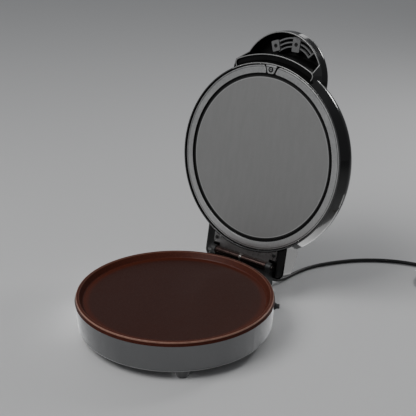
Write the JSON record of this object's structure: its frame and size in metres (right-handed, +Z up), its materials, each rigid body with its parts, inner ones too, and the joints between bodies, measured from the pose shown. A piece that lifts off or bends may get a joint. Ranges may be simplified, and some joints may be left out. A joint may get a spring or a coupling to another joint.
{
  "type": "electric pizza maker",
  "caption": "Countertop pizza maker: round base with a shallow heated pan, hinged domed lid with a heated plate and front handle, push button, cord and plug.",
  "frame": {"origin": "on the floor, at the middle of the open appliance's footprint without its cord", "axes": "+X to the right of someone who faces the front, +Y to the hinge at the rear, +Z up"},
  "size_m": [0.4956, 0.6615, 0.4592],
  "materials": {
    "satin_steel": "satin",
    "dark_coating": "satin",
    "pan_coating": "satin",
    "grey_coating": "satin",
    "grey_steel": "satin",
    "cover_steel": "matte",
    "black_gloss": "gloss",
    "black_plastic": "matte",
    "foot_plastic": "matte",
    "grey_plastic": "satin",
    "heater_steel": "satin",
    "screw_steel": "satin",
    "cord_rubber": "matte",
    "pin_brass": "satin",
    "block_plastic": "matte"
  },
  "bodies": {
    "base": {"base_drum": "satin_steel", "rim_band": "dark_coating", "lower_pan": "pan_coating", "bottom_cover": "cover_steel", "foot_rear_right": "foot_plastic", "foot_rear_left": "foot_plastic", "foot_front_left": "foot_plastic", "foot_front_right": "foot_plastic", "foot_screws": "screw_steel", "pan_screws": "screw_steel", "lower_heating_element": "heater_steel", "lower_heat_shield": "grey_steel", "lower_thermostat": "block_plastic", "terminal_block": "block_plastic", "terminal_screws": "screw_steel", "switch_body": "black_plastic", "hinge_bracket": "black_plastic", "bracket_screws": "screw_steel", "hinge_pin": "screw_steel", "strain_relief": "cord_rubber", "power_cord": "cord_rubber", "cord_coil": "cord_rubber", "cord_tie": "black_plastic", "cord_end": "cord_rubber", "plug_strain_relief": "cord_rubber", "plug_body": "cord_rubber", "plug_pins": "pin_brass"},
    "button": {"power_button": "black_plastic"},
    "lid": {"lid_shell": "black_gloss", "front_trim": "black_gloss", "lid_frame": "black_plastic", "retaining_ring": "grey_steel", "front_clip": "grey_steel", "frame_screws": "screw_steel", "clip_screw": "screw_steel", "upper_plate": "grey_coating", "upper_shield_screws": "screw_steel", "hinge_leaf": "grey_steel", "leaf_screws": "screw_steel", "tail_plate": "black_plastic", "handle_insert": "grey_plastic", "handle_screws": "screw_steel", "upper_heating_element": "heater_steel", "upper_heat_shield": "grey_steel", "upper_thermostat": "block_plastic"}
  },
  "joints": [
    {"name": "lid_hinge", "type": "hinge", "parent": "base", "child": "lid", "pos_m": [0, 0.104, 0.067], "axis": [1, 0, 0], "range_deg": [0, 101]},
    {"name": "button_press", "type": "slide", "parent": "base", "child": "button", "axis": [-0.848, -0.5299, 0], "range_m": [0, 0.002], "stiffness_N_per_m": 400, "springref_m": -0.003}
  ]
}
